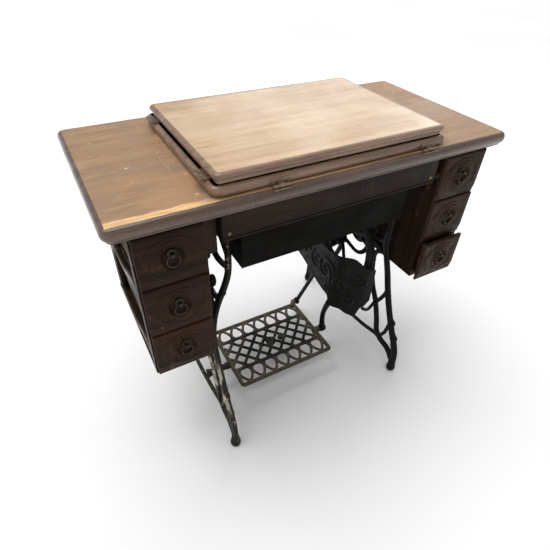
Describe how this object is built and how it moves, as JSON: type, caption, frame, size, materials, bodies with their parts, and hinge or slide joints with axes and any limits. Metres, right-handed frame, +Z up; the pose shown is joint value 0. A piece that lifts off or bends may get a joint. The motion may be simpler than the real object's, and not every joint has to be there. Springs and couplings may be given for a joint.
{
  "type": "treadle sewing machine",
  "caption": "Treadle sewing machine: a drop-head table with carved drawer stacks and a raised folding lid on a cast-iron stand with a lattice treadle and flywheel.",
  "frame": {"origin": "on the floor under the middle of the table", "axes": "+X to the right along the table, +Y to the back, away from the sewer, +Z up"},
  "size_m": [0.978, 0.5518, 0.82],
  "materials": {
    "top_veneer": "satin varnish, worn",
    "lid_veneer": "satin varnish, straight grain",
    "dark_wood": "satin varnish",
    "carved_wood": "satin varnish, carved",
    "inner_wood": "plain wood",
    "brass": "aged",
    "pull_metal": "dark patina",
    "black_iron": "black japanned",
    "treadle_iron": "worn and dusty",
    "japan": "gloss black",
    "steel": "polished"
  },
  "bodies": {
    "cabinet": {"table_top": "top_veneer", "top_edge_moulding": "dark_wood", "lid_border": "dark_wood", "fixed_hinge_leaves": "brass", "hinge_pins": "steel", "right_case_outer_side": "dark_wood", "left_case_outer_side": "dark_wood", "case_inner_sides": "dark_wood", "case_backs": "dark_wood", "case_shelves": "inner_wood", "front_apron": "dark_wood", "under_rails": "dark_wood", "dust_box": "dark_wood", "right_side_frame": "black_iron", "left_side_frame": "black_iron", "rear_brace": "black_iron", "wheel_bracket": "black_iron", "stand_screws": "steel", "dress_guard": "black_iron", "treadle_hangers": "black_iron", "head_hinges": "steel"},
    "lid": {"lid_panel": "lid_veneer", "lid_edge_moulding": "dark_wood", "lid_hinge_leaves": "brass"},
    "flap": {"front_flap": "dark_wood", "flap_hinge_leaves": "brass"},
    "treadle": {"treadle_plate": "treadle_iron"},
    "pitman": {"pitman_rod": "steel"},
    "flywheel": {"flywheel": "black_iron", "crankshaft": "steel"},
    "head": {"head_bed": "japan", "head_arm": "japan", "face_plate": "steel"},
    "handwheel": {"handwheel": "japan"},
    "needle": {"needle_bar": "steel"},
    "presser": {"presser_bar": "steel"},
    "left_bottom_drawer": {"left_bottom_drawer_box": "inner_wood", "left_bottom_drawer_front": "carved_wood", "left_bottom_pull_boss": "pull_metal"},
    "left_bottom_ring": {"left_bottom_pull_ring": "pull_metal"},
    "left_middle_drawer": {"left_middle_drawer_box": "inner_wood", "left_middle_drawer_front": "carved_wood", "left_middle_pull_boss": "pull_metal"},
    "left_middle_ring": {"left_middle_pull_ring": "pull_metal"},
    "left_top_drawer": {"left_top_drawer_box": "inner_wood", "left_top_drawer_front": "carved_wood", "left_top_pull_boss": "pull_metal"},
    "left_top_ring": {"left_top_pull_ring": "pull_metal"},
    "right_bottom_drawer": {"right_bottom_drawer_box": "inner_wood", "right_bottom_drawer_front": "carved_wood", "right_bottom_pull_boss": "pull_metal"},
    "right_bottom_ring": {"right_bottom_pull_ring": "pull_metal"},
    "right_middle_drawer": {"right_middle_drawer_box": "inner_wood", "right_middle_drawer_front": "carved_wood", "right_middle_pull_boss": "pull_metal"},
    "right_middle_ring": {"right_middle_pull_ring": "pull_metal"},
    "right_top_drawer": {"right_top_drawer_box": "inner_wood", "right_top_drawer_front": "carved_wood", "right_top_pull_boss": "pull_metal"},
    "right_top_ring": {"right_top_pull_ring": "pull_metal"}
  },
  "joints": [
    {"name": "lid_hinge", "type": "hinge", "parent": "cabinet", "child": "lid", "pos_m": [-0.292, 0, 0.799], "axis": [0, -1, 0], "range_deg": [0, 180]},
    {"name": "flap_hinge", "type": "hinge", "parent": "cabinet", "child": "flap", "pos_m": [0, -0.2295, 0.7788], "axis": [1, 0, 0], "range_deg": [0, 180]},
    {"name": "head_lift", "type": "hinge", "parent": "cabinet", "child": "head", "pos_m": [0, 0.112, 0.766], "axis": [-1, 0, 0], "range_deg": [0, 90]},
    {"name": "treadle_rock", "type": "hinge", "parent": "cabinet", "child": "treadle", "pos_m": [0, -0.04, 0.06], "axis": [1, 0, 0], "range_deg": [-3, 23]},
    {"name": "pitman_swing", "type": "hinge", "parent": "treadle", "child": "pitman", "pos_m": [0.148, 0.128, 0.048], "axis": [1, 0, 0], "range_deg": [-29, 4]},
    {"name": "flywheel_spin", "type": "hinge", "parent": "cabinet", "child": "flywheel", "pos_m": [0.21, 0.008, 0.4], "axis": [1, 0, 0], "continuous": true},
    {"name": "handwheel_spin", "type": "hinge", "parent": "head", "child": "handwheel", "pos_m": [0.183, -0.062, 0.674], "axis": [1, 0, 0], "continuous": true},
    {"name": "needle_bar_slide", "type": "slide", "parent": "head", "child": "needle", "axis": [0, -1, 0], "range_m": [-0.006, 0.024]},
    {"name": "presser_bar_slide", "type": "slide", "parent": "head", "child": "presser", "axis": [0, -1, 0], "range_m": [0, 0.008]},
    {"name": "left_bottom_slide", "type": "slide", "parent": "cabinet", "child": "left_bottom_drawer", "axis": [0, -1, 0], "range_m": [0, 0.27]},
    {"name": "left_bottom_ring_swing", "type": "hinge", "parent": "left_bottom_drawer", "child": "left_bottom_ring", "pos_m": [-0.3755, -0.229, 0.44], "axis": [-1, 0, 0], "range_deg": [0, 95]},
    {"name": "left_middle_slide", "type": "slide", "parent": "cabinet", "child": "left_middle_drawer", "axis": [0, -1, 0], "range_m": [0, 0.27]},
    {"name": "left_middle_ring_swing", "type": "hinge", "parent": "left_middle_drawer", "child": "left_middle_ring", "pos_m": [-0.3755, -0.229, 0.565], "axis": [-1, 0, 0], "range_deg": [0, 95]},
    {"name": "left_top_slide", "type": "slide", "parent": "cabinet", "child": "left_top_drawer", "axis": [0, -1, 0], "range_m": [0, 0.27]},
    {"name": "left_top_ring_swing", "type": "hinge", "parent": "left_top_drawer", "child": "left_top_ring", "pos_m": [-0.3755, -0.229, 0.689], "axis": [-1, 0, 0], "range_deg": [0, 95]},
    {"name": "right_bottom_slide", "type": "slide", "parent": "cabinet", "child": "right_bottom_drawer", "axis": [0, -1, 0], "range_m": [-0.015, 0.255]},
    {"name": "right_bottom_ring_swing", "type": "hinge", "parent": "right_bottom_drawer", "child": "right_bottom_ring", "pos_m": [0.3755, -0.244, 0.44], "axis": [-1, 0, 0], "range_deg": [0, 95]},
    {"name": "right_middle_slide", "type": "slide", "parent": "cabinet", "child": "right_middle_drawer", "axis": [0, -1, 0], "range_m": [0, 0.27]},
    {"name": "right_middle_ring_swing", "type": "hinge", "parent": "right_middle_drawer", "child": "right_middle_ring", "pos_m": [0.3755, -0.229, 0.565], "axis": [-1, 0, 0], "range_deg": [0, 95]},
    {"name": "right_top_slide", "type": "slide", "parent": "cabinet", "child": "right_top_drawer", "axis": [0, -1, 0], "range_m": [0, 0.27]},
    {"name": "right_top_ring_swing", "type": "hinge", "parent": "right_top_drawer", "child": "right_top_ring", "pos_m": [0.3755, -0.229, 0.689], "axis": [-1, 0, 0], "range_deg": [0, 95]}
  ],
  "couplings": [
    {"joint": "flap_hinge", "follows": "lid_hinge", "ratio": 1},
    {"joint": "head_lift", "follows": "lid_hinge", "ratio": 0.5},
    {"joint": "pitman_swing", "follows": "treadle_rock", "ratio": -1.24}
  ]
}
